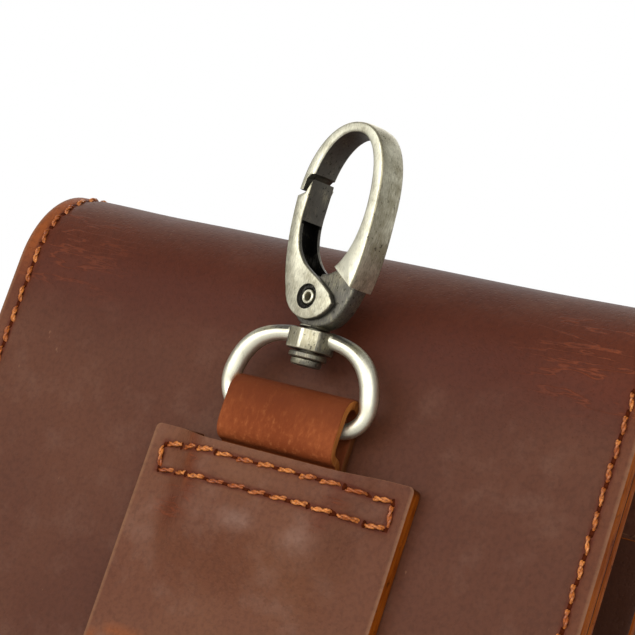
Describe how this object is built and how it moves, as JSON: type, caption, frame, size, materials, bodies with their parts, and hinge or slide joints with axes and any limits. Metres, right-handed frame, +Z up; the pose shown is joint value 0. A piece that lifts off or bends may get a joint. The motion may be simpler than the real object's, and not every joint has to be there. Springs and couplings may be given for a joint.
{
  "type": "belt bag",
  "caption": "Upright leather belt pouch with a bent-over flap, a wide belt loop and a swivel snap hook on a D-ring at the back.",
  "frame": {"origin": "middle of the whole width and depth, hook included, on the surface that the bag stands on", "axes": "+Z up, -Y out of the back that lies against the body, +Y out of the flap, X across the width"},
  "size_m": [0.112, 0.044, 0.1784],
  "materials": {
    "leather": "waxed",
    "tab_leather": "matte",
    "gusset_leather": "matte",
    "brass": "antique",
    "dark_brass": "antique"
  },
  "bodies": {
    "bag": {"back_flap_panel": "leather", "front_panel": "leather", "gusset": "gusset_leather", "flap_stud": "dark_brass", "belt_loop": "leather", "hook_tab": "tab_leather"},
    "ring": {"d_ring": "brass"},
    "hook": {"hook_body": "brass", "gate_rivet": "dark_brass"},
    "gate": {"gate": "brass"}
  },
  "joints": [
    {"name": "ring_swing", "type": "hinge", "parent": "bag", "child": "ring", "pos_m": [0.0047, -0.01186, 0.13303], "axis": [1, 0, 0], "range_deg": [-1.5, 125]},
    {"name": "hook_swivel", "type": "hinge", "parent": "ring", "child": "hook", "pos_m": [0.0047, -0.01186, 0.13303], "axis": [0, -0.1478, 0.989], "continuous": true},
    {"name": "gate_swing", "type": "hinge", "parent": "hook", "child": "gate", "pos_m": [0.00376, -0.01431, 0.15121], "axis": [0.2672, 0.953, 0.1424], "range_deg": [0, 25], "stiffness_Nm_per_rad": 0.02, "springref_deg": -11.46}
  ]
}
